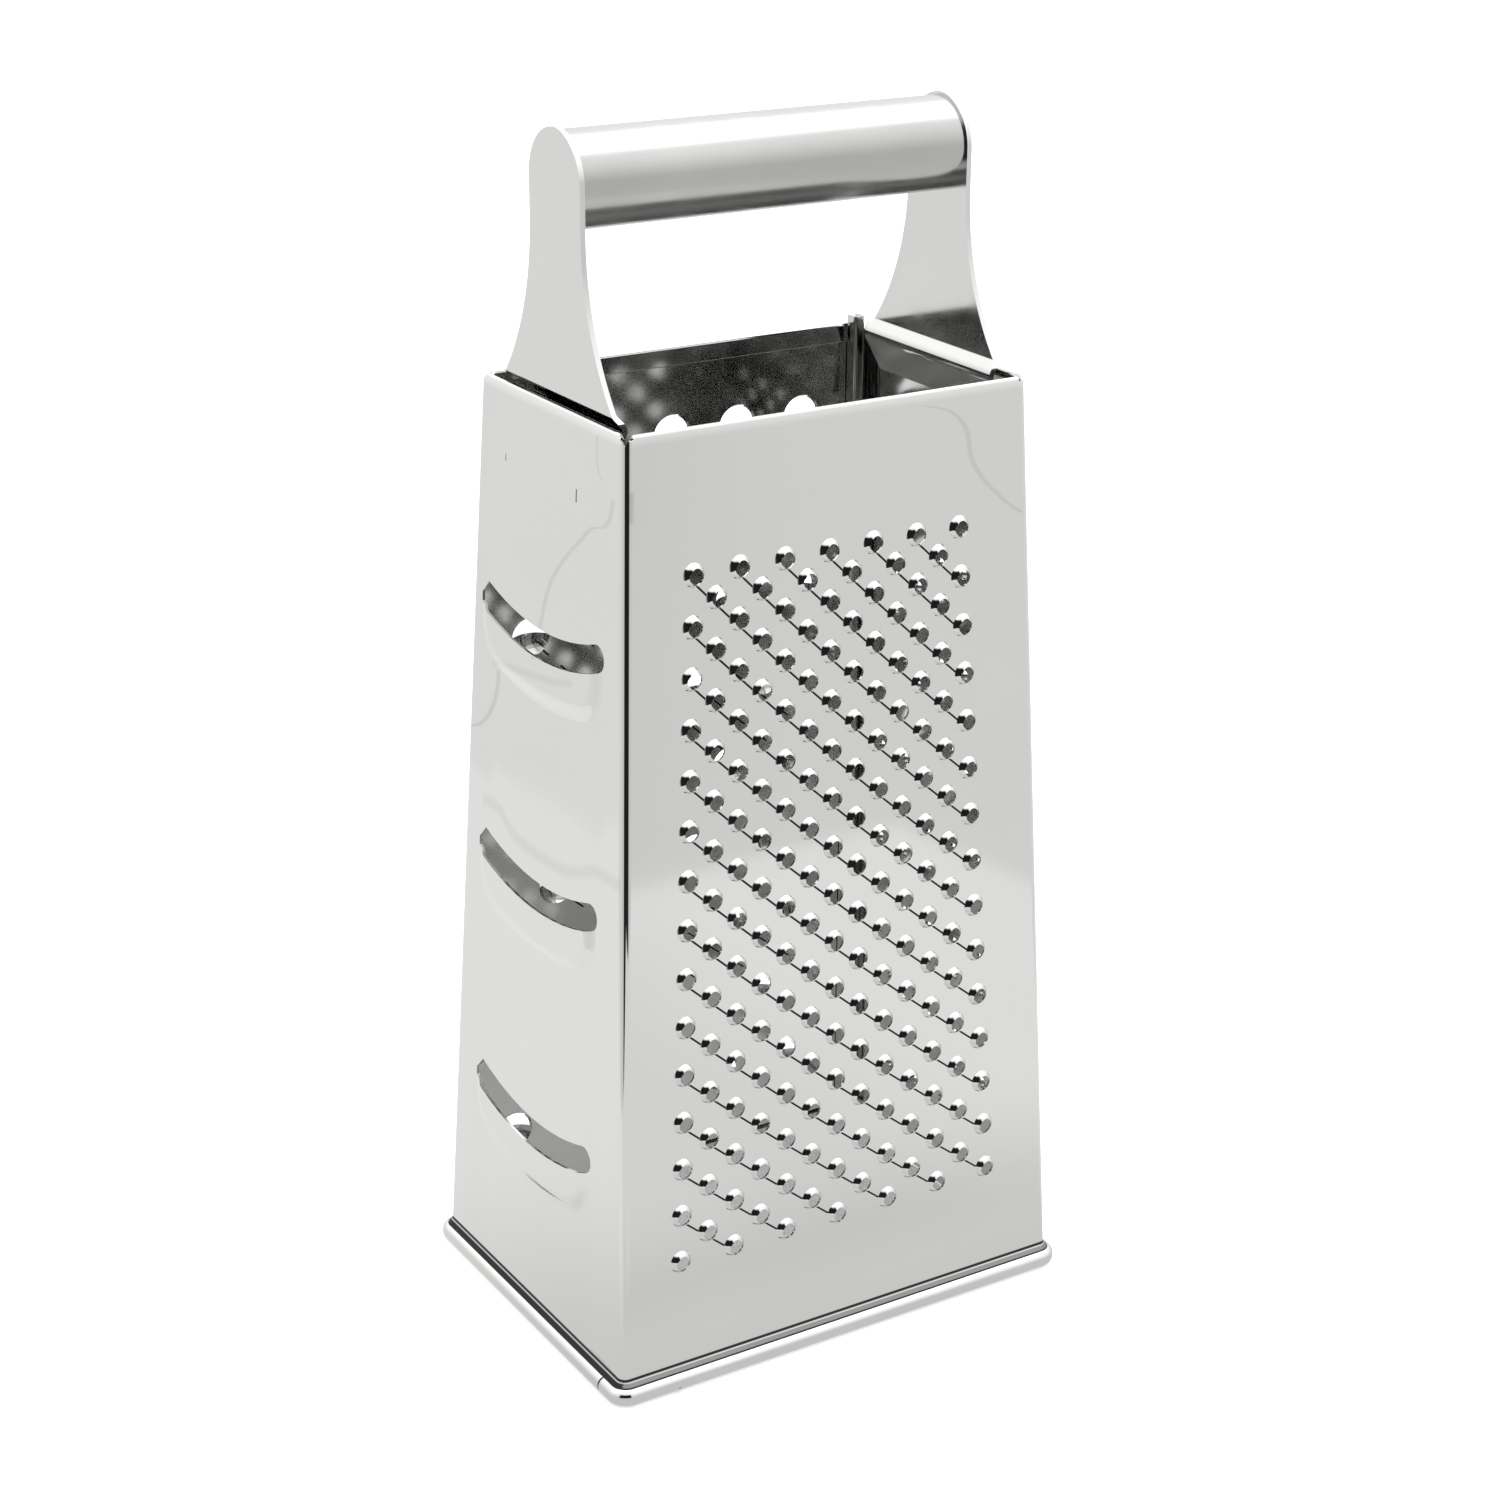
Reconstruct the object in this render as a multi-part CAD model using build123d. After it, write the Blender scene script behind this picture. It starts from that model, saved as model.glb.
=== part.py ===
from build123d import *
import os
from math import asin, atan2, cos, degrees, floor, sin, sqrt

# Box grater, millimetres. The wide grating face is toward -Y, the slicing face toward -X,
# and the foot stands on Z = 0 with the origin at its middle.

# Folded body, measured to the sharp corners of its flat faces
foot_height = 4.8
body_top = 183.5
foot_width = 98.9
foot_depth = 71.8
top_width = 84.4
top_depth = 52.9
sheet = 0.5
bend_radius = 1.6

# Hem that closes the top edge of each face
hem_gap = 0.2
hem_leaf_length = 3.0
hem_end_gap = 0.2
hem_overlap = 0.3
corner_notch_half_width = 1.15
corner_notch_depth = 1.9

# Flared foot of the body and the vertical skirt that the rim holds
flare_run = 1.05
flare_drop = 1.1
skirt_corner_radius = 3.0

# Rolled rim round the foot
rim_height = 3.6
rim_floor = 0.8
rim_outer_wall = 1.2
rim_inner_wall = 0.7
rim_fit = 0.05
rim_edge_radius = 1.6
rim_joint_setback = 7.5
rim_joint_top_width = 0.3
rim_joint_foot_width = 0.8
rim_nick_setback = 13.5
rim_nick_width = 0.9
rim_nick_height = 1.3

# Welded-up seam at the back right corner
seam_inset = 3.4
seam_slit = 0.1
seam_flange_depth = 2.2
seam_groove_half_width = 0.4
seam_groove_depth = 0.3
strip_sheet = 0.65
strip_end_clearance = 0.1
strip_face_clearance = 0.2
strip_foot_height = 4.7
strip_top_rise = 1.5

# Handle
tube_radius = 8.65
tube_wall = 0.7
handle_rise = 38.6
plug_fit = 0.05
plug_length = 6.0
plug_wall = 0.8
plug_edge_radius = 0.6

# Brackets, one at each end of the handle
bracket_plate = 1.0
bracket_inset = 1.6
bracket_eye_radius = 9.2
bracket_neck_drop = 7.6
bracket_flare_radius = 47.0
bracket_foot_half_width = 20.5
bracket_shoulder_drop = 1.1
bracket_leg_end_half_width = 17.0
bracket_leg_corner_radius = 3.0
bracket_leg_length = 19.0
bracket_pad_length = 12.0
bracket_jog = 1.7
bracket_jog_top_rise = 1.4
bracket_jog_drop = 2.3
bracket_bend_radius = 1.3

# Pierced teeth of the front: each is a dome with a rounded hole set off to its lower right
medium_tooth_radius = 2.2
medium_tooth_rise = 1.1
medium_tooth_skin = 0.4
medium_hole_length = 3.0
medium_hole_width = 2.8
medium_hole_corner_radius = 1.1
medium_hole_setoff = 0.4
medium_hole_turn = -45
medium_row_pitch = 4.696
medium_top_margin = 26.1
medium_foot_margin = 20.0
medium_field_offset = 1.1
medium_columns = 7
medium_span_top_share = 0.638
medium_span_foot_share = 0.730

# Scooped teeth of the back and right side: each is half a dome under a round hole
coarse_tooth_radius = 4.2
coarse_tooth_rise = 2.2
coarse_tooth_skin = 0.5
coarse_row_pitch = 18.15
coarse_top_margin = 17.7
coarse_foot_margin = 15.0
coarse_field_offset = -1.5
coarse_columns = 5
coarse_span_share = 0.683

fine_tooth_radius = 1.45
fine_tooth_rise = 1.0
fine_tooth_skin = 0.4
fine_row_pitch = 3.5
fine_top_margin = 26.0
fine_foot_margin = 16.0
fine_columns = 6
fine_span_top_share = 0.64
fine_span_foot_share = 0.70

# Slicing slots in the left face, counted from the top
slot_count = 3
slot_pitch = 49.2
slot_top_margin = 47.4
slot_edge_radius = 67.0
slot_gap = 5.1
slot_half_span = 23.2
slot_offset = 1.4
slot_end_lean = 2.6
slot_end_step = 0.6
slot_step_share = 0.65
blade_rise = 0.9
blade_width = 9.2
blade_border_width = 3.6

# Overrun of every cutting solid past what it cuts
overrun = 1.0


# Sizes that follow from the ones above
body_height = body_top - foot_height
lip_radius = sheet + hem_gap / 2
tube_axis_height = body_top + handle_rise
bracket_outer_face = top_width / 2 - bracket_inset
bracket_neck_height = tube_axis_height - bracket_neck_drop
bracket_shoulder_height = body_top - bracket_shoulder_drop
tube_length = 2 * (bracket_outer_face - bracket_plate)


def half_width(height):
    """Half the body's outer width at a height, to the sharp corner."""
    share = (height - foot_height) / body_height
    return (foot_width + (top_width - foot_width) * share) / 2


def half_depth(height):
    """Half the body's outer depth at a height, to the sharp corner."""
    share = (height - foot_height) / body_height
    return (foot_depth + (top_depth - foot_depth) * share) / 2


class FacePanel:
    """One flat face of the body, with its own frame: X across it, Y up it, Z outward."""

    def __init__(self, turn, foot_out, top_out, foot_half, top_half):
        self.lean = atan2(foot_out - top_out, body_height)
        self.length = body_height / cos(self.lean)
        self.foot_half = foot_half
        self.top_half = top_half
        upright = Plane(
            origin=(0, -foot_out, foot_height),
            x_dir=(1, 0, 0),
            z_dir=(0, -cos(self.lean), sin(self.lean)),
        )
        self.place = Rot(0, 0, turn) * upright.location

    def half_at(self, up):
        """Half the face's width at a distance up it."""
        return self.foot_half + (self.top_half - self.foot_half) * up / self.length


front = FacePanel(0, foot_depth / 2, top_depth / 2, foot_width / 2, top_width / 2)
right = FacePanel(90, foot_width / 2, top_width / 2, foot_depth / 2, top_depth / 2)
back = FacePanel(180, foot_depth / 2, top_depth / 2, foot_width / 2, top_width / 2)
left = FacePanel(-90, foot_width / 2, top_width / 2, foot_depth / 2, top_depth / 2)


def tapered_block(bottom, top, inset_x, inset_y, edge_radius):
    """Four-sided block that follows the body's taper, its faces moved in by the insets."""
    low_x = half_width(bottom) - inset_x
    low_y = half_depth(bottom) - inset_y
    high_x = half_width(top) - inset_x
    high_y = half_depth(top) - inset_y
    wedge = Solid.make_wedge(
        2 * low_x,
        top - bottom,
        2 * low_y,
        low_x - high_x,
        low_y - high_y,
        low_x + high_x,
        low_y + high_y,
    )
    block = Pos(-low_x, low_y, bottom) * Rot(90, 0, 0) * wedge
    slanted = block.edges().group_by(Axis.Z)[1]
    return block.fillet(edge_radius, slanted)


def flared_foot(block, grow, corner_radius, skirt_foot):
    """Flare and skirt that carry on below a tapered block, from its own bottom face."""
    flare_foot = foot_height - flare_drop
    start = block.faces().sort_by(Axis.Z)[0]
    skirt_half_x = foot_width / 2 + flare_run - grow
    skirt_half_y = foot_depth / 2 + flare_run - grow
    outline = RectangleRounded(2 * skirt_half_x, 2 * skirt_half_y, corner_radius)
    flare = Solid.make_loft([start.outer_wire(), (Pos(0, 0, flare_foot) * outline).wire()], True)
    skirt = Pos(0, 0, skirt_foot) * extrude(outline, flare_foot - skirt_foot)
    return block + flare + skirt


def hem(panel, start, end):
    """Folded-over top edge of one face, between two places across it."""
    centre = panel.length - lip_radius
    profile_plane = Plane(origin=(start, 0, 0), x_dir=(0, 0, 1), z_dir=(-1, 0, 0))
    leaf_outer = -sheet - hem_gap
    leaf_inner = leaf_outer - sheet
    foot = centre - 2 * hem_overlap
    leaf_end = centre - hem_leaf_length
    outline = [
        Line((0, foot), (0, centre)),
        ThreePointArc((0, centre), (-lip_radius, centre + lip_radius), (leaf_inner, centre)),
        Line((leaf_inner, centre), (leaf_inner, leaf_end)),
        ThreePointArc(
            (leaf_inner, leaf_end),
            (leaf_inner + sheet / 2, leaf_end - sheet / 2),
            (leaf_outer, leaf_end),
        ),
        Line((leaf_outer, leaf_end), (leaf_outer, centre)),
        ThreePointArc(
            (leaf_outer, centre),
            (-lip_radius, centre + hem_gap / 2),
            (-sheet, centre),
        ),
        Line((-sheet, centre), (-sheet, foot)),
        Line((-sheet, foot), (0, foot)),
    ]
    profile = profile_plane * make_face(outline)
    return panel.place * extrude(profile, end - start, dir=(1, 0, 0))


def corner_notch(side_x, side_y):
    """V notch in the top edge at one corner."""
    plane = Plane(
        origin=(side_x * half_width(body_top), side_y * half_depth(body_top), body_top),
        x_dir=(-side_y, side_x, 0),
        z_dir=(side_x, side_y, 0),
    )
    rise = corner_notch_depth + overrun
    half = corner_notch_half_width * rise / corner_notch_depth
    outline = Polyline((0, -corner_notch_depth), (half, overrun), (-half, overrun), close=True)
    return extrude(plane * make_face(outline), 2 * bend_radius + overrun, both=True)


def seam_prism(low_x, high_x, low_y, high_y, bottom, top):
    """Slanted bar along the seam. X is from the seam line, Y outward from the back face."""
    seam_x = half_width(bottom) - seam_inset
    face_y = half_depth(bottom)
    section = Pos(seam_x, face_y, bottom) * Polyline(
        (low_x, low_y), (high_x, low_y), (high_x, high_y), (low_x, high_y), close=True
    )
    rise = (
        half_width(top) - half_width(bottom),
        half_depth(top) - half_depth(bottom),
        top - bottom,
    )
    return Solid.extrude(make_face(section).face(), Vector(*rise))


def seam_groove(bottom, top):
    """Small V groove where the two edges of the sheet turn in at the seam."""
    seam_x = half_width(bottom) - seam_inset
    face_y = half_depth(bottom)
    reach = (seam_groove_depth + overrun) / seam_groove_depth
    half = seam_groove_half_width * reach
    section = Pos(seam_x, face_y, bottom) * Polyline(
        (0, -seam_groove_depth), (half, overrun), (-half, overrun), close=True
    )
    rise = (
        half_width(top) - half_width(bottom),
        half_depth(top) - half_depth(bottom),
        top - bottom,
    )
    return Solid.extrude(make_face(section).face(), Vector(*rise))


def ball_for(radius, rise):
    """Radius and sunken depth of the ball whose cap has this radius and rise."""
    ball = (radius**2 + rise**2) / (2 * rise)
    return ball, ball - rise


def dome_cap(radius, rise):
    """Low dome that stands on a face, its foot sunk half into the sheet."""
    ball, depth = ball_for(radius, rise)
    height = rise + sheet / 2
    keep = Box(2 * (radius + overrun), 2 * (radius + overrun), height)
    return Pos(0, 0, -depth) * Sphere(ball) & Pos(0, 0, rise - height / 2) * keep


def dome_hollow(radius, rise, skin):
    """Ball that hollows a dome from inside the body, leaving its skin."""
    hollow, depth = ball_for(radius - skin, rise - skin)
    return Pos(0, 0, -depth) * Sphere(hollow)


def scooped_tooth(radius, rise, skin):
    """Lower half of a dome, and the ball that also opens the hole above it."""
    reach = radius + overrun
    lower_half = Pos(0, -reach / 2, 0) * Box(2 * reach, reach, 2 * reach)
    return dome_cap(radius, rise) & lower_half, [dome_hollow(radius, rise, skin)]


def pierced_tooth(radius, rise, skin):
    """Whole dome, its hollow and the rounded hole set off from its middle."""
    outline = RectangleRounded(medium_hole_length, medium_hole_width, medium_hole_corner_radius)
    hole = extrude(outline, rise + sheet + overrun, both=True)
    hole = Rot(0, 0, medium_hole_turn) * Pos(medium_hole_setoff, 0, 0) * hole
    return dome_cap(radius, rise), [dome_hollow(radius, rise, skin), hole]


def tooth_places(panel, row_pitch, top_margin, foot_margin, offset, columns, top_share, foot_share):
    """Places of the teeth on a face: full rows alternate with rows set half a pitch in."""
    top_row = panel.length - top_margin
    rows = floor((top_row - foot_margin) / row_pitch) + 1
    places = []
    for row in range(rows):
        up = top_row - row * row_pitch
        share = foot_share + (top_share - foot_share) * up / panel.length
        pitch = 2 * panel.half_at(up) * share / (columns - 1)
        count = columns - row % 2
        for column in range(count):
            across = (column - (count - 1) / 2) * pitch - offset
            places.append(panel.place * Pos(across, up, 0))
    return places


def slot_point(radius, across, centre):
    """Point on an arc about the centre of a slot's curve, at a distance across from it."""
    return (centre[0] + across, centre[1] - sqrt(radius**2 - across**2))


def slot_cutter(centre):
    """Curved slicing slot: round at its front end, slanted with a small step at its back."""
    upper = slot_edge_radius - slot_gap
    middle = slot_edge_radius - slot_gap / 2
    front_across = slot_half_span - slot_gap / 2
    turn = asin(front_across / middle)
    front_low = (centre[0] + slot_edge_radius * sin(turn), centre[1] - slot_edge_radius * cos(turn))
    front_high = (centre[0] + upper * sin(turn), centre[1] - upper * cos(turn))
    front_end = (
        (front_low[0] + front_high[0]) / 2 + slot_gap / 2 * cos(turn),
        (front_low[1] + front_high[1]) / 2 + slot_gap / 2 * sin(turn),
    )
    back_low = slot_point(slot_edge_radius, -slot_half_span, centre)
    back_high = slot_point(upper, slot_end_lean - slot_half_span, centre)
    step_radius = upper + slot_gap * slot_step_share
    step_across = slot_end_step - slot_half_span
    step_high = slot_point(step_radius - slot_end_step, step_across, centre)
    step_low = slot_point(step_radius, -slot_half_span, centre)
    low_middle = (centre[0], centre[1] - slot_edge_radius)
    high_middle = (centre[0], centre[1] - upper)
    outline = [
        ThreePointArc(back_low, low_middle, front_low),
        ThreePointArc(front_low, front_end, front_high),
        ThreePointArc(front_high, high_middle, back_high),
        Line(back_high, step_high),
        Line(step_high, step_low),
        Line(step_low, back_low),
    ]
    reach = blade_rise + sheet + overrun
    return extrude(make_face(outline), reach, both=True)


def blade_profile(centre, drop, floor_depth):
    """Section through the pressed-out blade, straight down from the middle of the slot."""
    half_border = blade_border_width / 2
    half_turn = atan2(blade_rise / 2, half_border)
    bow = half_border / sin(2 * half_turn)
    edge = slot_edge_radius
    border = edge + blade_width - blade_border_width
    end = edge + blade_width
    top = blade_rise - drop
    middle = (border + half_border, top - blade_rise / 2)
    sag = bow * (1 - cos(half_turn))
    upper = (border + bow * sin(half_turn), top - sag)
    lower = (end - bow * sin(half_turn), sag - drop)
    plane = Plane(origin=(centre[0], centre[1], 0), x_dir=(0, -1, 0), z_dir=(-1, 0, 0))
    outline = [
        Line((edge, -floor_depth), (edge, top)),
        Line((edge, top), (border, top)),
        ThreePointArc((border, top), upper, middle),
        ThreePointArc(middle, lower, (end, -drop)),
        Line((end, -drop), (end, -floor_depth)),
        Line((end, -floor_depth), (edge, -floor_depth)),
    ]
    return plane * make_face(outline)


def blade_form(centre, drop, floor_depth):
    """Pressed-out panel below the slot's lower edge, with a soft border and round ends."""
    profile = blade_profile(centre, drop, floor_depth)
    reach = slot_half_span - blade_width
    half_turn = degrees(asin(reach / slot_edge_radius))
    slot_axis = Axis((centre[0], centre[1], 0), (0, 0, 1))
    end_sweep = 90 + half_turn
    form = revolve(profile.rotate(slot_axis, -half_turn), slot_axis, 2 * half_turn)
    for side in (1, -1):
        turned = profile.rotate(slot_axis, side * half_turn)
        hub = slot_point(slot_edge_radius, side * reach, centre)
        hub_axis = Axis((hub[0], hub[1], 0), (0, 0, side))
        form += revolve(turned, hub_axis, end_sweep)
    return form


def build_body():
    """Body folded from one sheet, with its hems, seam flanges, teeth and slots."""
    shell_top = body_top - lip_radius - hem_overlap
    outer = tapered_block(foot_height, shell_top, 0, 0, bend_radius)
    inset_x = sheet / cos(left.lean)
    inset_y = sheet / cos(front.lean)
    inner = tapered_block(foot_height, shell_top + overrun, inset_x, inset_y, bend_radius - sheet)
    outer = flared_foot(outer, 0, skirt_corner_radius, rim_floor)
    inner = flared_foot(inner, sheet, skirt_corner_radius - sheet, rim_floor - overrun)
    body = outer - inner

    corner_gap = bend_radius + hem_end_gap
    strip_half = seam_slit / 2 + sheet + strip_sheet
    seam_gap = seam_inset + strip_half + strip_face_clearance
    wide = front.half_at(front.length) - corner_gap
    narrow = left.half_at(left.length) - corner_gap
    seam_end = seam_gap - back.half_at(back.length)
    hems = [
        hem(front, -wide, wide),
        hem(right, -narrow, narrow),
        hem(left, -narrow, narrow),
        hem(back, seam_end, wide),
    ]
    flange_half = seam_slit / 2 + sheet
    flange_root = -sheet - seam_flange_depth
    flange_top = shell_top - hem_leaf_length
    flange = seam_prism(
        -flange_half, flange_half, flange_root, -sheet / 2, foot_height, flange_top
    )
    body = body.fuse(*[part.solid() for part in hems], flange)
    slit = seam_prism(
        -seam_slit / 2, seam_slit / 2, flange_root - overrun, overrun, foot_height, body_top
    )
    notches = [corner_notch(x, y).solid() for x in (-1, 1) for y in (-1, 1)]
    body = body.cut(slit, seam_groove(foot_height, body_top), *notches)

    domes = []
    hollows = []
    fields = [
        (
            front,
            pierced_tooth(medium_tooth_radius, medium_tooth_rise, medium_tooth_skin),
            (medium_row_pitch, medium_top_margin, medium_foot_margin, medium_field_offset),
            (medium_columns, medium_span_top_share, medium_span_foot_share),
        ),
        (
            back,
            scooped_tooth(coarse_tooth_radius, coarse_tooth_rise, coarse_tooth_skin),
            (coarse_row_pitch, coarse_top_margin, coarse_foot_margin, coarse_field_offset),
            (coarse_columns, coarse_span_share, coarse_span_share),
        ),
        (
            right,
            scooped_tooth(fine_tooth_radius, fine_tooth_rise, fine_tooth_skin),
            (fine_row_pitch, fine_top_margin, fine_foot_margin, 0),
            (fine_columns, fine_span_top_share, fine_span_foot_share),
        ),
    ]
    for panel, (dome, cutters), rows, columns in fields:
        for place in tooth_places(panel, *rows, *columns):
            domes.append(place * dome.solid())
            hollows += [place * cutter.solid() for cutter in cutters]

    for number in range(slot_count):
        low_edge = left.length - slot_top_margin - number * slot_pitch
        centre = (-slot_offset, low_edge + slot_edge_radius)
        blade = blade_form(centre, 0, sheet / 2)
        hollow = blade_form(centre, sheet, sheet + overrun)
        domes.append(left.place * blade.solid())
        hollows.append(left.place * hollow.solid())
        hollows.append(left.place * slot_cutter(centre).solid())

    return body.fuse(*domes).cut(*hollows)


def build_seam_strip():
    """Strip folded to a U that clamps the two seam flanges."""
    inner_half = seam_slit / 2 + sheet
    outer_half = inner_half + strip_sheet
    mouth = -sheet - strip_face_clearance
    flange_root = -sheet - seam_flange_depth
    pocket_root = flange_root - strip_end_clearance
    strip_root = pocket_root - strip_sheet
    top = body_top + strip_top_rise
    bar = seam_prism(-outer_half, outer_half, strip_root, mouth, strip_foot_height, top)
    slanted = bar.edges().group_by(Axis.Z)[1]
    bar = bar.fillet(strip_sheet, slanted.sort_by(Axis.Y)[:2])
    pocket = seam_prism(
        -inner_half, inner_half, pocket_root, overrun, strip_foot_height - overrun, top + overrun
    )
    return bar - pocket


def build_rim():
    """Half-round strip bent round the foot, its groove open upward to take the skirt."""
    skirt_half_x = foot_width / 2 + flare_run
    skirt_half_y = foot_depth / 2 + flare_run

    def ring_block(grow, bottom, top):
        outline = RectangleRounded(
            2 * (skirt_half_x + grow), 2 * (skirt_half_y + grow), skirt_corner_radius + grow
        )
        return Pos(0, 0, bottom) * extrude(outline, top - bottom)

    rim = ring_block(rim_outer_wall, 0, rim_height)
    outer_edges = rim.edges().group_by(Axis.Z)[0] + rim.edges().group_by(Axis.Z)[-1]
    rim = fillet(outer_edges, rim_edge_radius)
    bore = ring_block(-sheet - rim_fit - rim_inner_wall, -overrun, rim_height + overrun)
    rim -= bore
    groove_top = rim_height + overrun
    groove = ring_block(rim_fit, rim_floor, groove_top)
    groove -= ring_block(-sheet - rim_fit, rim_floor, groove_top)
    rim -= groove

    joint_y = rim_joint_setback - skirt_half_y - rim_outer_wall
    side_x = -skirt_half_x - rim_outer_wall
    joint = Polyline(
        (-rim_joint_foot_width / 2, -overrun),
        (rim_joint_foot_width / 2, -overrun),
        (rim_joint_top_width / 2, rim_height + overrun),
        (-rim_joint_top_width / 2, rim_height + overrun),
        close=True,
    )
    joint_plane = Plane(origin=(side_x, joint_y, 0), x_dir=(0, -1, 0), z_dir=(-1, 0, 0))
    joint_reach = rim_outer_wall + sheet + rim_fit + rim_inner_wall + overrun
    rim -= extrude(joint_plane * make_face(joint), joint_reach, both=True)

    nick_x = rim_nick_setback - skirt_half_x - rim_outer_wall
    front_y = -skirt_half_y - rim_outer_wall
    nick_depth = rim_outer_wall - rim_fit
    nick = Box(rim_nick_width, 2 * nick_depth, 2 * rim_nick_height)
    return rim - Pos(nick_x, front_y, 0) * nick


def bracket_plate_section():
    """Plate seen from the front: upright, jog in over the hem, and leg out to the face."""
    pad_foot = bracket_shoulder_height - bracket_leg_length
    pad_top = pad_foot + bracket_pad_length
    wall = sheet / cos(left.lean)
    jog_top = body_top + bracket_jog_top_rise
    path = FilletPolyline(
        (bracket_outer_face, tube_axis_height + bracket_eye_radius + overrun),
        (bracket_outer_face, jog_top),
        (bracket_outer_face - bracket_jog, jog_top - bracket_jog_drop),
        (half_width(pad_top) - wall, pad_top),
        (half_width(pad_foot) - wall, pad_foot),
        radius=bracket_bend_radius,
    )
    return make_face(offset(path, bracket_plate, side=Side.RIGHT, closed=True).wire())


def bracket_outline():
    """Bracket seen from the side: round eye, neck, wide foot and leg."""
    spread = bracket_foot_half_width - bracket_eye_radius
    drop = sqrt(bracket_flare_radius**2 - (bracket_flare_radius - spread) ** 2)
    flare_foot = bracket_neck_height - drop
    leg_foot = bracket_shoulder_height - bracket_leg_length
    flare_turn = asin(drop / bracket_flare_radius) / 2
    flare_middle = (
        bracket_eye_radius + bracket_flare_radius * (1 - cos(flare_turn)),
        bracket_neck_height - bracket_flare_radius * sin(flare_turn),
    )
    half = [
        Line((bracket_eye_radius, tube_axis_height), (bracket_eye_radius, bracket_neck_height)),
        ThreePointArc(
            (bracket_eye_radius, bracket_neck_height),
            flare_middle,
            (bracket_foot_half_width, flare_foot),
        ),
        Line(
            (bracket_foot_half_width, flare_foot),
            (bracket_foot_half_width, bracket_shoulder_height),
        ),
        Line(
            (bracket_foot_half_width, bracket_shoulder_height),
            (bracket_leg_end_half_width, leg_foot),
        ),
        Line((bracket_leg_end_half_width, leg_foot), (0, leg_foot)),
    ]
    top = ThreePointArc(
        (bracket_eye_radius, tube_axis_height),
        (0, tube_axis_height + bracket_eye_radius),
        (-bracket_eye_radius, tube_axis_height),
    )
    mirrored = [mirror(part, Plane.YZ) for part in half]
    face = make_face([top] + half + mirrored)
    foot_points = face.vertices().group_by(Axis.Y)[0].sort_by(Axis.X)
    return fillet([foot_points[0], foot_points[-1]], bracket_leg_corner_radius)


def build_bracket(side):
    """Bracket of one side: the bent plate trimmed to its outline."""
    front_plane = Plane(origin=(0, 0, 0), x_dir=(side, 0, 0), z_dir=(0, -side, 0))
    side_plane = Plane(origin=(0, 0, 0), x_dir=(0, side, 0), z_dir=(side, 0, 0))
    plate = extrude(front_plane * bracket_plate_section(), 2 * bracket_foot_half_width, both=True)
    blank = extrude(side_plane * bracket_outline(), foot_width)
    return plate & blank


def build_tube():
    """Round grip between the brackets."""
    tube = Cylinder(tube_radius, tube_length) - Cylinder(tube_radius - tube_wall, 2 * tube_length)
    return Pos(0, 0, tube_axis_height) * Rot(0, 90, 0) * tube


def build_plug(side):
    """Pressed cup on a bracket that fills the end of the tube, open toward its middle."""
    radius = tube_radius - tube_wall - plug_fit
    cup = extrude(Circle(radius), plug_length)
    cup = fillet(cup.edges().group_by(Axis.Z)[0], plug_edge_radius)
    bore = fillet(
        extrude(Circle(radius - plug_wall), plug_length).edges().group_by(Axis.Z)[0],
        plug_edge_radius,
    )
    cup -= Pos(0, 0, plug_wall) * bore
    end = Plane(
        origin=(side * tube_length / 2, 0, tube_axis_height), x_dir=(0, 1, 0), z_dir=(-side, 0, 0)
    )
    return end * cup


if __name__ == "__main__":
    os.makedirs("parts", exist_ok=True)
    nodes = {
        "body_sheet": build_body(),
        "seam_strip": build_seam_strip(),
        "base_rim": build_rim(),
        "left_handle_bracket": build_bracket(-1),
        "right_handle_bracket": build_bracket(1),
        "handle_tube": build_tube(),
        "left_tube_plug": build_plug(-1),
        "right_tube_plug": build_plug(1),
    }
    for name, shape in nodes.items():
        export_step(shape, f"parts/{name}.step")
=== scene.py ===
from collections import namedtuple
from math import cos, hypot, radians, sin

import bpy
from mathutils import Matrix, Vector


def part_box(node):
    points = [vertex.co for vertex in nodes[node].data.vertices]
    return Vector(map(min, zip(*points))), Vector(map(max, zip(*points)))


# Box grater of polished sheet steel, in metres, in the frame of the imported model.
# The wide grating face looks toward -Y, the slicing face toward -X.
MM = 0.001

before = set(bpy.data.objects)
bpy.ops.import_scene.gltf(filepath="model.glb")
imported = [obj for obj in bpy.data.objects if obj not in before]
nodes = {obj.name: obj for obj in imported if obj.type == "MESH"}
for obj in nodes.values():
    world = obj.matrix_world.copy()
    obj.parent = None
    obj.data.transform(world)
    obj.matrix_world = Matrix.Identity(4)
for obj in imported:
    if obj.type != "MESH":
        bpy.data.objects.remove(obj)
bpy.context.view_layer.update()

# Camera of the photograph
CAMERA_PLACE = Vector((-277.1, -443.3, 314.5)) * MM
CAMERA_YAW = radians(32.0)
CAMERA_PITCH = radians(21.39)
CAMERA_ROLL = radians(0.51)
CAMERA_SENSOR_MM = 36.0
CAMERA_LENS_MM = 70.37
CAMERA_CLIP = (0.01, 20.0)

# Tent of pale walls with a lamp cloth above, and a dark gap on the side that the photograph
# is taken from. Ranges are of a ray's height or of its reach to one side, from -1 to 1.
BACK_AZIMUTH = radians(57.6)
WALL_RANGE = (-0.40, 1.0)
WALL_TONES = (0.845, 0.97)
WALL_SIDE_RANGE = (-0.40, -0.54)
WALL_SIDE_LOSS = 0.10
CEILING_RANGE = (0.0, 0.65)
CEILING_RISE = 0.60
LAMP_AZIMUTH = radians(15)
LAMP_LEAN = 0.35
LAMP_RANGE = (0.88, 0.98)
LAMP_RISE = 1.4
GAP_AZIMUTH = radians(-122.4)
GAP_HALF = radians(30)
GAP_EDGE = radians(5)
GAP_TOP_RANGE = (0.55, 0.75)
GAP_TONE = 0.015

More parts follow.
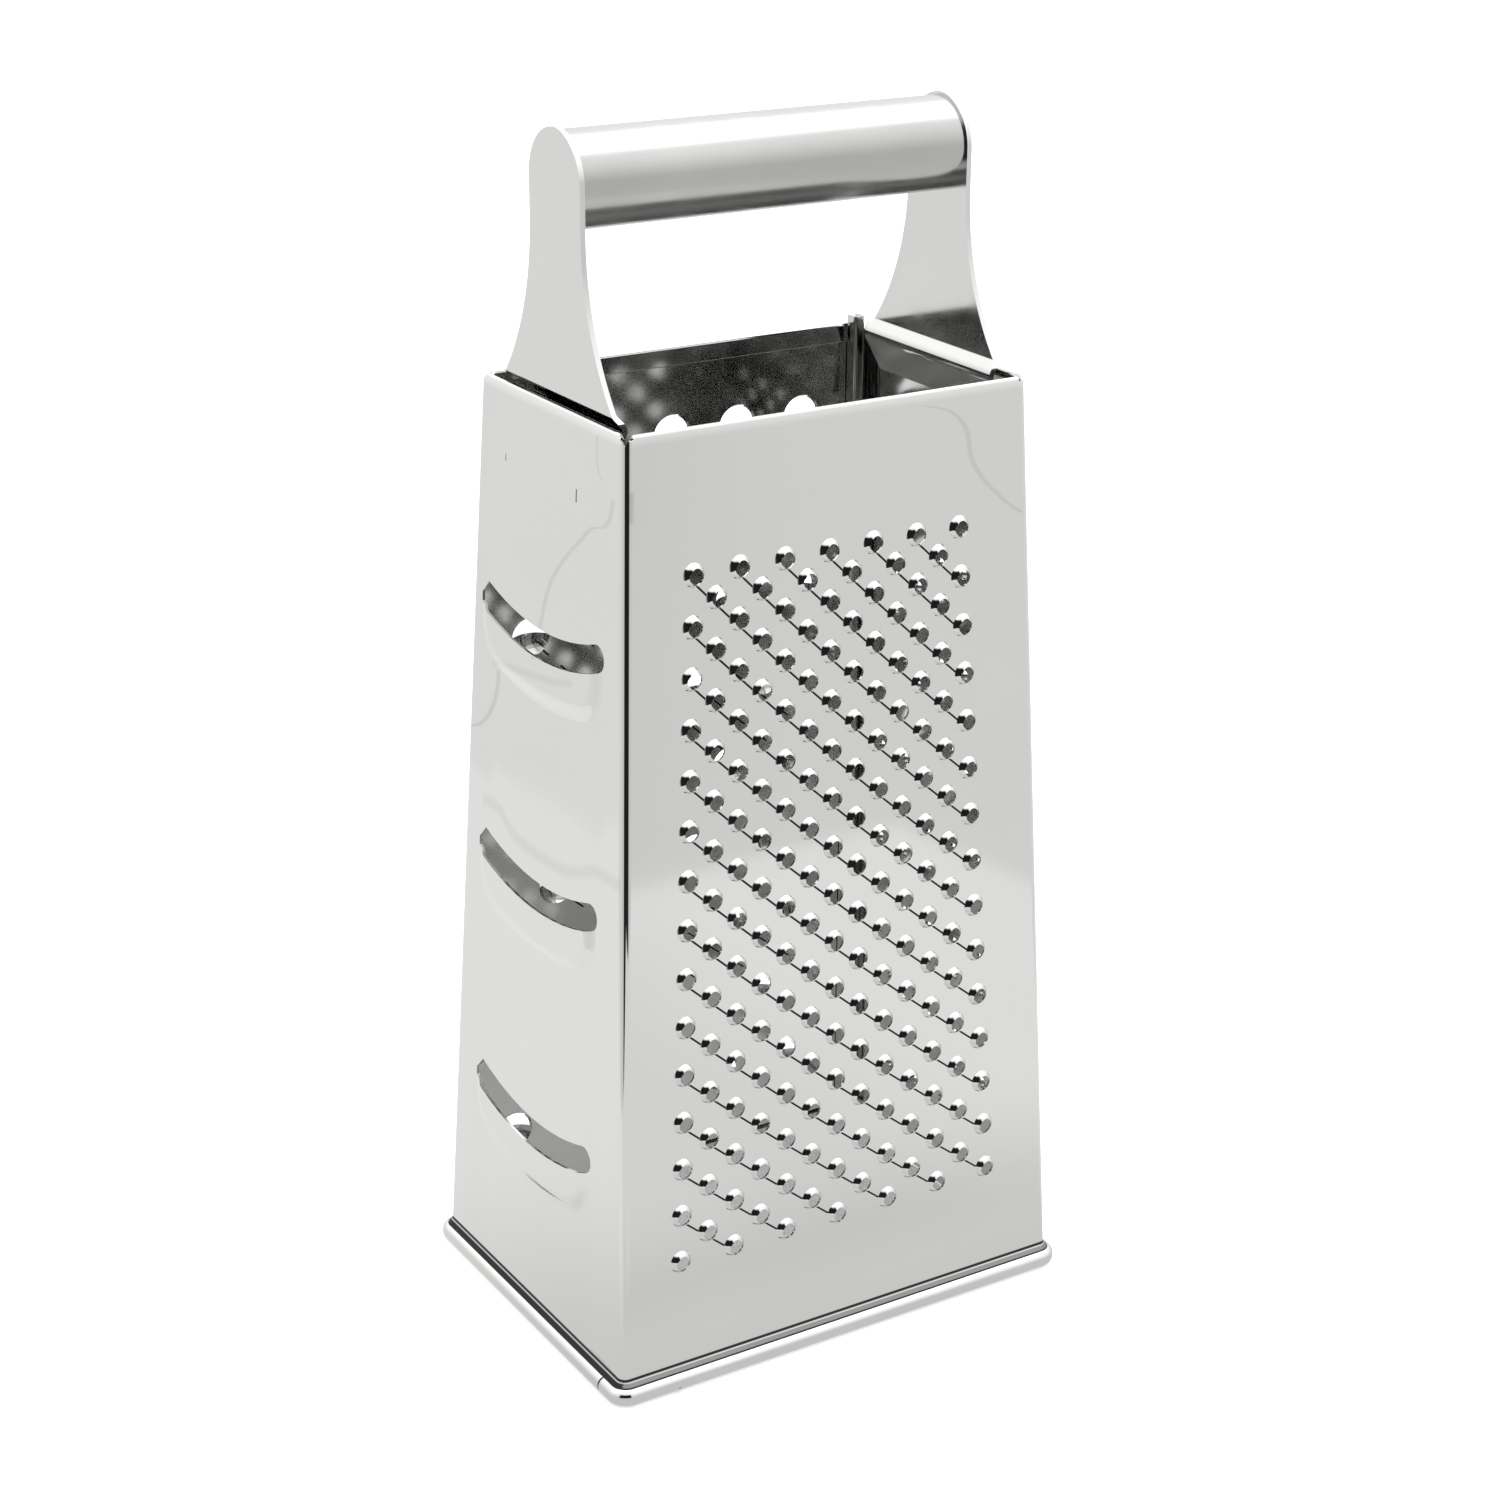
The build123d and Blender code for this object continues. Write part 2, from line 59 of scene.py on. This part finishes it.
# Pale floor, which gives some light of its own, and the white sheet that reflections see on
# it. The sheet has a painted shadow near the object, deeper in front of it than behind, and in
# front of it is a little greyer all the way out, except past its right side.
FLOOR_HALF = 3.0
FLOOR_COLOR = (0.80, 0.80, 0.80, 1)
FLOOR_GLOW = 0.45
INSIDE_GLOW = 0.20
INSIDE_MARGIN = 1.5 * MM
SHEET_HALVES = (185 * MM, 290 * MM)
SHEET_EDGE = 12 * MM
SHEET_TONE = 0.99
SHEET_SHADOW_TONES = (0.78, 0.97)
SHEET_NEAR_RANGE = (-20 * MM, 70 * MM)
SHEET_NEAR_REACH = 85 * MM
SHEET_BEFORE_RANGE = (-50 * MM, -80 * MM)
SHEET_LEFTWARD_RANGE = (110 * MM, 30 * MM)
SHEET_BEFORE_LOSS = 0.11

# Body sheet in millimetres: four leaning faces that stand on a crease over a flared skirt,
# with rounded hems that end just under the faces' top level
body_low, body_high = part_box("body_sheet")
SKIRT_HEIGHT = 4.0
FLARE_RUN = 1.05
FRONT_LEAN = 9.45
SIDE_LEAN = 7.25
HEM_DROP = 0.024
FOOT_HALVES = (-body_low.x / MM, -body_low.y / MM)
FOOT_LEVEL = body_low.z / MM + SKIRT_HEIGHT
TOP_LEVEL = body_high.z / MM + HEM_DROP
FACE_HEIGHT = TOP_LEVEL - FOOT_LEVEL
FACE_HALF_WIDTH = FOOT_HALVES[0] - FLARE_RUN
FACE_HALF_DEPTH = FOOT_HALVES[1] - FLARE_RUN
FRONT_LENGTH = hypot(FACE_HEIGHT, FRONT_LEAN)

# How far a normal turns to a face before its marks show. On the inner side the place along
# the normal is below zero: the sheet is rougher there, with painted shade that deepens toward
# the mouth.
FACE_TURN = (-0.90, -0.97)
INNER_RANGE = (-2.0, -8.0)
INNER_LEVELS = (30.0, 130.0)
INNER_PAINTED_SHADE = 0.20
INNER_ROUGH = 0.04

# Painted shade over the foot, as drops below the crease: a dark line along the crease, a
# shaded groove between the skirt and the rim, darker on faces turned to the left, and a painted
# contact shadow where the two meet
FOOT_CREASE_RISE = 0.05
FOOT_CREASE_HALF = 0.16
FOOT_CREASE_SOFT = 0.22
GROOVE_DROPS = (0.20, 0.45)
GROOVE_PAINTED_SHADE = 0.72
GROOVE_SIDE_TURN = (-0.2, -0.6)
CONTACT_DROPS = (0.75, 1.05)
FOOT_PAINTED_SHADE = 0.96

# Medium teeth on the front face: rows from the top, seven and six teeth by turns
ROW_TOP = 26.1
ROW_PITCH = 4.696
ROW_SHIFT_SHARE = 0.5
LAST_ROW = 28
FIELD_FOOT_SHARE = 0.730
FIELD_TOP_SHARE = 0.638
FIELD_OFFSET = 1.1
FIELD_GAPS = 6

# Thin creases that join them, each a shallow groove with a painted dark reflection along it,
# with ends and soft edges as shares of a row and of a gap
TOOTH_CREASE_SLANT = radians(45)
TOOTH_CREASE_OFFSET = 1.0
TOOTH_CREASE_HALF = 0.15
TOOTH_CREASE_SOFT = 0.10
TOOTH_CREASE_ROW_SHARES = (0.46, 0.89)
TOOTH_CREASE_END_SHARE = 0.02
FIELD_ROW_END_SHARE = 0.01
FIELD_GAP_END_SHARE = 0.03
TOOTH_CREASE_PAINTED_SHADE = 0.97
TOOTH_CREASE_DEPTH = 0.05

# Slicing slots on the left face: arcs bowed down, to which the sheet above slopes in. The
# ranges are of the height over an arc and of the distance to a side of its middle.
SLOT_LEVEL_SHARES = (0.762, 0.487, 0.212)
SLOT_CENTRE = -1.4
SLOT_RADIUS = 61.9
SLOPE_RANGE = (8.0, -1.0)
SLOPE_SIDE_RANGE = (32.0, 20.0)
SLOPE_DEPTH = 0.16

# Painted highlight along the rolled top edges, as drops below the top
TOP_EDGE_DROPS = (2.4, 0.3)
TOP_EDGE_HIGHLIGHT = 0.16

# Dark lines and weld marks. The lines are painted reflections of the faces' slow waves and
# painted shade by the slots; the two weld marks are the sheet's own. Each is a curve through
# points, as shares of the face's height and of its half width at the foot, a half width and a
# soft edge in millimetres, and a shade
Stroke = namedtuple("Stroke", "shares half soft shade")
STROKE_LEAST_SPAN = 0.01
# Painted dark reflections on the left face, then its two weld marks
LEFT_RISING = (
    Stroke(
        [(0.949, -0.540), (0.961, -0.493), (0.975, -0.482), (0.989, -0.487)],
        half=0.10, soft=0.35, shade=0.12,
    ),
    Stroke(
        [
            (0.734, 0.078), (0.777, 0.033), (0.812, -0.031), (0.835, -0.114), (0.859, -0.231),
            (0.879, -0.351), (0.896, -0.451), (0.905, -0.582), (0.918, -0.632), (0.932, -0.649),
        ],
        half=0.10, soft=1.0, shade=0.13,
    ),
    Stroke(
        [(0.612, 0.797), (0.623, 0.677), (0.644, 0.574), (0.668, 0.510), (0.690, 0.496)],
        half=0.10, soft=1.2, shade=0.16,
    ),
    # The two weld marks, the sheet's own dark marks
    Stroke([(0.920, 0.448), (0.927, 0.448)], half=0.10, soft=0.10, shade=0.75),
    Stroke([(0.914, -0.292), (0.927, -0.292)], half=0.14, soft=0.10, shade=0.85),
)
# Painted dark reflections of the front face's slow waves
FRONT_RISING = (
    Stroke(
        [(0.860, 0.823), (0.881, 0.726), (0.917, 0.615), (0.963, 0.560), (0.983, 0.427)],
        half=0.12, soft=0.8, shade=0.12,
    ),
    Stroke([(0.918, -0.839), (0.943, -0.833)], half=0.15, soft=0.9, shade=0.18),
)
# The same for painted shade lines that run across the face by the slots: first the share of the
# half width
LEFT_CROSSING = (
    Stroke(
        [(-0.323, 0.730), (-0.170, 0.722), (0.053, 0.715), (0.345, 0.707), (0.549, 0.698)],
        half=0.05, soft=1.2, shade=0.09,
    ),
    Stroke(
        [
            (-0.808, 0.549), (-0.613, 0.547), (-0.421, 0.533), (-0.201, 0.522), (0.058, 0.519),
            (0.259, 0.521), (0.398, 0.532), (0.513, 0.540), (0.630, 0.538),
        ],
        half=0.3, soft=1.8, shade=0.09,
    ),
)

# Steels: tone and range of roughness, depth of the mottle, its waves per metre and its
# stretch, and height in millimetres of the slow waves in the surface
STEELS = {
    "polished_sheet": dict(
        tone=0.72, rough=(0.045, 0.075), mottle=0.012, scale=25, wave=0.10, wave_scale=28
    ),
    "rim_steel": dict(tone=0.68, rough=(0.07, 0.11), mottle=0.02, scale=90, wave=0.03),
    "seam_steel": dict(tone=0.62, rough=(0.14, 0.20), mottle=0.03, scale=80),
    "bracket_steel": dict(tone=0.70, rough=(0.10, 0.15), mottle=0.012, scale=45, wave=0.02),
    "tube_steel": dict(
        tone=0.49, rough=(0.19, 0.25), mottle=0.035, scale=55, stretch=(1, 0.6, 0.6), wave=0.03
    ),
    "plug_steel": dict(tone=0.60, rough=(0.25, 0.35), mottle=0.03, scale=120),
}
STEEL_TINT = (1.0, 1.0, 0.985)
MOTTLE_DETAIL = 2.0
WEAR_SCALE = 3
WEAR_RANGE = (-0.2, 0.2)
WAVE_DETAIL = 1.0

NOISE_MIDDLE = 0.5
WHITE = (1, 1, 1, 1)


class Value:
    """A shader value that takes part in sums, so that node math reads as formulas."""

    def __init__(self, graph, socket):
        self.graph = graph
        self.socket = socket

    def __add__(self, other):
        return self.graph.math("ADD", self, other)

    def __radd__(self, other):
        return self.graph.math("ADD", other, self)

    def __sub__(self, other):
        return self.graph.math("SUBTRACT", self, other)

    def __rsub__(self, other):
        return self.graph.math("SUBTRACT", other, self)

    def __mul__(self, other):
        return self.graph.math("MULTIPLY", self, other)

    def __truediv__(self, other):
        return self.graph.math("DIVIDE", self, other)

    def __abs__(self):
        return self.graph.math("ABSOLUTE", self)


class Graph:
    """A node tree that nodes are added to, with their inputs fed by values or by links."""

    def __init__(self, tree):
        self.tree = tree
        tree.nodes.clear()

    def add(self, kind, *by_place, **by_name):
        """A new node, with its inputs fed by their places or by their names."""
        node = self.tree.nodes.new(kind)
        for key, value in (*enumerate(by_place), *by_name.items()):
            self.feed(node, key, value)
        return node

    def feed(self, node, key, value):
        socket = node.inputs[key]
        if isinstance(value, Value):
            value = value.socket
        if isinstance(value, bpy.types.NodeSocket):
            self.tree.links.new(value, socket)
        else:
            socket.default_value = value

    def math(self, operation, *values):
        node = self.add("ShaderNodeMath", *values)
        node.operation = operation
        return Value(self, node.outputs[0])

    def spread(self, value, low, high, to_low, to_high, smooth=True):
        """Map a value from one range to another, clamped."""
        node = self.add("ShaderNodeMapRange", value, low, high, to_low, to_high)
        node.interpolation_type = "SMOOTHSTEP" if smooth else "LINEAR"
        return Value(self, node.outputs[0])

    def ramp(self, value, start, end, smooth=True):
        """0 up to the start and 1 from the end on. The end may be the lower of the two."""
        return self.spread(value, start, end, 0.0, 1.0, smooth)

    def band(self, value, centre, half, soft):
        """1 within a half width of the centre, falling to 0 over the soft edge."""
        return self.ramp(abs(value - centre), half + soft, half)

    def between(self, value, low, high, soft):
        """1 from low to high, falling to 0 over the soft edge on either side."""
        return self.band(value, (low + high) / 2, (high - low) / 2, soft)

    def split(self, vector):
        parts = self.add("ShaderNodeSeparateXYZ", vector).outputs
        return [Value(self, part) for part in parts]

    def noise(self, scale, stretch, detail):
        """Noise about 0 at each place, with the scale in waves per metre."""
        place = self.add("ShaderNodeNewGeometry").outputs["Position"]
        stretched = self.add("ShaderNodeMapping", Vector=place, Scale=stretch).outputs[0]
        made = self.add("ShaderNodeTexNoise", Vector=stretched, Scale=scale, Detail=detail)
        return Value(self, made.outputs[0]) - NOISE_MIDDLE

    def mix(self, share, first, second):
        """The first value where the share is 0, the second where it is 1."""
        node = self.add("ShaderNodeMix", share)
        self.feed(node, 2, first)
        self.feed(node, 3, second)
        return Value(self, node.outputs[0])

    def mix_shaders(self, share, first, second):
        return self.add("ShaderNodeMixShader", share, first, second).outputs[0]

    def add_shaders(self, first, second):
        return self.add("ShaderNodeAddShader", first, second).outputs[0]

    def glow(self, strength):
        return self.add("ShaderNodeEmission", Color=WHITE, Strength=strength).outputs[0]


def make_camera():
    data = bpy.data.cameras.new("photo_camera")
    camera = bpy.data.objects.new("photo_camera", data)
    bpy.context.scene.collection.objects.link(camera)
    data.sensor_fit = "HORIZONTAL"
    data.sensor_width = CAMERA_SENSOR_MM
    data.lens = CAMERA_LENS_MM
    data.clip_start, data.clip_end = CAMERA_CLIP
    level = Vector((sin(CAMERA_YAW), cos(CAMERA_YAW), 0))
    forward = level * cos(CAMERA_PITCH) - Vector((0, 0, sin(CAMERA_PITCH)))
    right = Vector((cos(CAMERA_YAW), -sin(CAMERA_YAW), 0))
    up = right.cross(forward)
    rolled_right = right * cos(CAMERA_ROLL) + up * sin(CAMERA_ROLL)
    rolled_up = up * cos(CAMERA_ROLL) - right * sin(CAMERA_ROLL)
    turn = Matrix((rolled_right, rolled_up, -forward)).transposed()
    camera.matrix_world = Matrix.Translation(CAMERA_PLACE) @ turn.to_4x4()
    bpy.context.scene.camera = camera


def make_world():
    """White to the camera, and the tent to the light and the reflections."""
    world = bpy.data.worlds.new("studio")
    bpy.context.scene.world = world
    world.use_nodes = True
    graph = Graph(world.node_tree)
    east, north, height = graph.split(graph.add("ShaderNodeTexCoord").outputs["Generated"])

    to_back = east * cos(BACK_AZIMUTH) + north * sin(BACK_AZIMUTH)
    wall = graph.spread(to_back, *WALL_RANGE, *WALL_TONES, smooth=False)
    side_loss = graph.ramp(to_back, *WALL_SIDE_RANGE) * WALL_SIDE_LOSS
    ceiling = graph.ramp(height, *CEILING_RANGE, smooth=False) * CEILING_RISE
    to_lamp = east * cos(LAMP_AZIMUTH) + north * sin(LAMP_AZIMUTH)
    lamp = graph.ramp(height + to_lamp * LAMP_LEAN, *LAMP_RANGE) * LAMP_RISE
    tent = wall - side_loss + ceiling + lamp

    off_gap = abs(graph.math("ARCTAN2", north, east) - GAP_AZIMUTH)
    beside = graph.ramp(off_gap, GAP_HALF - GAP_EDGE, GAP_HALF + GAP_EDGE)
    above = graph.ramp(height, *GAP_TOP_RANGE)
    tone = graph.mix(graph.math("MAXIMUM", beside, above), GAP_TONE, tent)

    to_camera = graph.add("ShaderNodeLightPath").outputs["Is Camera Ray"]
    strength = graph.mix(to_camera, tone, 1.0)
    back = graph.add("ShaderNodeBackground", Color=WHITE, Strength=strength)
    graph.add("ShaderNodeOutputWorld", back.outputs[0])


def sheet_tone(graph, x, y, away):
    """Tone of the white sheet at a place, which is so far away from the object's foot, with a
    painted shadow near the foot.
    """
    # Painted shadow of the object on the sheet that reflections see
    shadow_tone = graph.spread(y, *SHEET_NEAR_RANGE, *SHEET_SHADOW_TONES)
    tone = graph.spread(away, 0.0, SHEET_NEAR_REACH, shadow_tone, SHEET_TONE)
    before = graph.ramp(y, *SHEET_BEFORE_RANGE)
    leftward = graph.ramp(x, *SHEET_LEFTWARD_RANGE)
    return tone - before * leftward * SHEET_BEFORE_LOSS


def floor_paper():
    """Pale paper. Reflections see it as far as the white sheet goes, and the tent past it."""
    material = bpy.data.materials.new("floor_paper")
    material.use_nodes = True
    graph = Graph(material.node_tree)
    x, y, _ = graph.split(graph.add("ShaderNodeNewGeometry").outputs["Position"])
    past, under, away = [], [], []
    for off, sheet_half, foot_half in zip((abs(x), abs(y)), SHEET_HALVES, FOOT_HALVES):
        past.append(graph.ramp(off, sheet_half, sheet_half + SHEET_EDGE))
        under.append(graph.math("LESS_THAN", off, foot_half * MM - INSIDE_MARGIN))
        away.append(off - foot_half * MM)

    paper = graph.add("ShaderNodeBsdfDiffuse", Color=FLOOR_COLOR).outputs[0]
    open_paper = graph.add_shaders(paper, graph.glow(FLOOR_GLOW))
    inner_paper = graph.add_shaders(paper, graph.glow(INSIDE_GLOW))
    sheet = graph.glow(sheet_tone(graph, x, y, graph.math("MAXIMUM", *away)))
    clear = graph.add("ShaderNodeBsdfTransparent").outputs[0]
    mirrored = graph.mix_shaders(graph.math("MAXIMUM", *past), sheet, clear)
    to_mirror = graph.add("ShaderNodeLightPath").outputs["Is Glossy Ray"]
    outside = graph.mix_shaders(to_mirror, open_paper, mirrored)
    inside = graph.math("MULTIPLY", *under)
    shaded = graph.mix_shaders(inside, outside, inner_paper)
    graph.add("ShaderNodeOutputMaterial", shaded)
    return material


def make_floor():
    half = FLOOR_HALF
    corners = [(-half, -half, 0), (half, -half, 0), (half, half, 0), (-half, half, 0)]
    mesh = bpy.data.meshes.new("floor")
    mesh.from_pydata(corners, [], [(0, 1, 2, 3)])
    mesh.update()
    floor = bpy.data.objects.new("floor", mesh)
    bpy.context.scene.collection.objects.link(floor)
    mesh.materials.append(floor_paper())


class Steel:
    """A steel material: a tone with a slow mottle, worn roughness, and slow waves as relief."""

    def __init__(
        self, name, tone, rough, mottle, scale, stretch=(1, 1, 1), wave=0.0, wave_scale=60
    ):
        self.material = bpy.data.materials.new(name)
        self.material.use_nodes = True
        self.graph = Graph(self.material.node_tree)
        cloud = self.graph.noise(scale, stretch, MOTTLE_DETAIL)
        self.tone = tone + cloud * (2 * mottle)
        wear = self.graph.noise(scale * WEAR_SCALE, stretch, MOTTLE_DETAIL)
        self.rough = self.graph.spread(wear, *WEAR_RANGE, *rough)
        self.relief = None
        if wave:
            self.raise_by(self.graph.noise(wave_scale, (1, 1, 1), WAVE_DETAIL) * wave)

    def place(self):
        """The place on the object in millimetres."""
        parts = self.graph.split(self.graph.add("ShaderNodeNewGeometry").outputs["Position"])
        return [part / MM for part in parts]

    def facing(self):
        return self.graph.split(self.graph.add("ShaderNodeNewGeometry").outputs["Normal"])

    def darken(self, share):
        self.tone = self.tone * (1.0 - share)

    def raise_by(self, height):
        """Add a height in millimetres to the relief."""
        self.relief = height if self.relief is None else self.relief + height

    def finish(self):
        graph = self.graph
        color = graph.add("ShaderNodeCombineColor", *(self.tone * share for share in STEEL_TINT))
        shader = graph.add("ShaderNodeBsdfPrincipled", Metallic=1.0, Roughness=self.rough)
        graph.feed(shader, "Base Color", color.outputs[0])
        if self.relief is not None:
            bump = graph.add("ShaderNodeBump", Height=self.relief, Distance=MM, Strength=1.0)
            graph.feed(shader, "Normal", bump.outputs[0])
        graph.add("ShaderNodeOutputMaterial", shader.outputs[0])
        return self.material


class Way:
    """A way over a face: a place along it in millimetres, where it starts and its length."""

    def __init__(self, place, start, length):
        self.place = place
        self.start = start
        self.length = length

    def at(self, share):
        return self.start + share * self.length


def stroke_line(graph, along, across, stroke):
    """A soft line along a smooth curve through the stroke's points, 0 away from it."""
    points = [(along.at(first), across.at(second)) for first, second in stroke.shares]
    start, end = points[0][0], points[-1][0]
    low = min(place for _, place in points)
    high = max(place for _, place in points)
    span = max(high - low, STROKE_LEAST_SPAN)
    shares = [((reach - start) / (end - start), (place - low) / span) for reach, place in points]
    curve = graph.add("ShaderNodeFloatCurve", Value=(along.place - start) / (end - start))
    knots = curve.mapping.curves[0].points
    knots[0].location = shares[0]
    knots[1].location = shares[-1]
    for share in shares[1:-1]:
        knots.new(*share)
    curve.mapping.update()
    middle = Value(graph, curve.outputs[0]) * (high - low) + low
    line = graph.band(across.place - middle, 0.0, stroke.half, stroke.soft)
    return line * graph.between(along.place, start, end, stroke.soft)


def draw_strokes(steel, strokes, along, across, face):
    for stroke in strokes:
        steel.darken(stroke_line(steel.graph, along, across, stroke) * face * stroke.shade)


def shade_inside(steel, outward, z):
    """The inner side is unpolished, with painted shade that deepens toward the mouth. Gives its
    share.
    """
    inner = steel.graph.ramp(outward, *INNER_RANGE)
    # Painted shade inside, deeper toward the mouth
    steel.darken(inner * steel.graph.ramp(z, *INNER_LEVELS) * INNER_PAINTED_SHADE)
    steel.rough = steel.rough + inner * INNER_ROUGH
    return inner


def paint_foot_shade(steel, z, turned_x, inner):
    """Painted shade: a dark line on the crease over the foot, the groove under it, and a contact
    shadow where skirt and rim meet.
    """
    graph = steel.graph
    drop = FOOT_LEVEL - z
    crease = graph.band(drop, -FOOT_CREASE_RISE, FOOT_CREASE_HALF, FOOT_CREASE_SOFT)
    hollow = graph.ramp(drop, *GROOVE_DROPS)
    side = graph.ramp(turned_x, *GROOVE_SIDE_TURN)
    groove = graph.math("MAXIMUM", hollow * GROOVE_PAINTED_SHADE, hollow * side)
    contact_shadow = graph.ramp(drop, *CONTACT_DROPS)
    shade = graph.math("MAXIMUM", graph.math("MAXIMUM", crease, groove), contact_shadow)
    # The crease line, groove and contact shadow are painted shade in the tone, not on the inner
    # side
    steel.darken(shade * FOOT_PAINTED_SHADE * (1.0 - inner))


def tooth_creases(graph, x, z):
    """1 on the thin creases from each medium tooth down to the next one on its right."""
    up = (z - FOOT_LEVEL) * (FRONT_LENGTH / FACE_HEIGHT)
    share = FIELD_FOOT_SHARE - up * ((FIELD_FOOT_SHARE - FIELD_TOP_SHARE) / FRONT_LENGTH)
    half = FACE_HALF_WIDTH - up * (SIDE_LEAN / FRONT_LENGTH)
    pitch = share * half * (2 / FIELD_GAPS)
    row = (FRONT_LENGTH - ROW_TOP - up) / ROW_PITCH
    column = (x + FIELD_OFFSET) / pitch
    chain = column - row * ROW_SHIFT_SHARE
    off = (chain - graph.math("ROUND", chain)) * pitch * cos(TOOTH_CREASE_SLANT)
    line = graph.band(off, -TOOTH_CREASE_OFFSET, TOOTH_CREASE_HALF, TOOTH_CREASE_SOFT)
    in_row = graph.math("FRACT", row)
    part = graph.between(in_row, *TOOTH_CREASE_ROW_SHARES, TOOTH_CREASE_END_SHARE)
    rows = graph.between(row, 0.0, LAST_ROW, FIELD_ROW_END_SHARE)
    columns = graph.between(column, -FIELD_GAPS / 2, FIELD_GAPS / 2, FIELD_GAP_END_SHARE)
    return line * part * rows * columns


def crease_teeth(steel, x, z, front):
    creases = tooth_creases(steel.graph, x, z) * front
    # The dark line in the tone is a painted reflection of the dark gap; the groove in the relief
    # is real
    steel.darken(creases * TOOTH_CREASE_PAINTED_SHADE)
    steel.raise_by(creases * -TOOTH_CREASE_DEPTH)


def slope_to_slots(steel, y, z, left):
    """The sheet above each slot slopes in a little toward it."""
    graph = steel.graph
    off_y = y - SLOT_CENTRE
    middle = graph.ramp(abs(off_y), *SLOPE_SIDE_RANGE)
    for share in SLOT_LEVEL_SHARES:
        off_z = z - (FOOT_LEVEL + share * FACE_HEIGHT + SLOT_RADIUS)
        over = SLOT_RADIUS - graph.math("SQRT", off_y * off_y + off_z * off_z)
        steel.raise_by(graph.ramp(over, *SLOPE_RANGE) * middle * left * -SLOPE_DEPTH)


def paint_top_edge_highlight(steel, z, faces):
    # A painted highlight: the tone is lightened near the top of the front and left faces
    edge = steel.graph.ramp(TOP_LEVEL - z, *TOP_EDGE_DROPS) * TOP_EDGE_HIGHLIGHT
    steel.tone = steel.tone + edge * faces


def body_steel():
    """Polished sheet with the marks of its pressing and welding, painted shade and dark
    reflections, and a painted highlight on its top edges.
    """
    steel = Steel("polished_sheet", **STEELS["polished_sheet"])
    x, y, z = steel.place()
    turned_x, turned_y, _ = steel.facing()
    front = steel.graph.ramp(turned_y, *FACE_TURN)
    left = steel.graph.ramp(turned_x, *FACE_TURN)
    inner = shade_inside(steel, turned_x * x + turned_y * y, z)
    paint_foot_shade(steel, z, turned_x, inner)
    crease_teeth(steel, x, z, front)
    rise = Way(z, FOOT_LEVEL, FACE_HEIGHT)
    depth = Way(y, 0.0, FACE_HALF_DEPTH)
    width = Way(x, 0.0, FACE_HALF_WIDTH)
    # Painted dark reflections and shade lines on the faces, and the two real weld marks
    draw_strokes(steel, LEFT_RISING, rise, depth, left)
    draw_strokes(steel, LEFT_CROSSING, depth, rise, left)
    draw_strokes(steel, FRONT_RISING, rise, width, front)
    paint_top_edge_highlight(steel, z, steel.graph.math("MAXIMUM", front, left))
    slope_to_slots(steel, y, z, left)
    return steel.finish()


def plain_steel(name):
    return Steel(name, **STEELS[name]).finish()


def dress(material, *names):
    for name in names:
        slots = nodes[name].data.materials
        slots.clear()
        slots.append(material)


make_camera()
make_world()
make_floor()

dress(body_steel(), "body_sheet")
dress(plain_steel("rim_steel"), "base_rim")
dress(plain_steel("seam_steel"), "seam_strip")
dress(plain_steel("bracket_steel"), "left_handle_bracket", "right_handle_bracket")
dress(plain_steel("tube_steel"), "handle_tube")
dress(plain_steel("plug_steel"), "left_tube_plug", "right_tube_plug")

scene = bpy.context.scene
scene.view_settings.view_transform = "Standard"
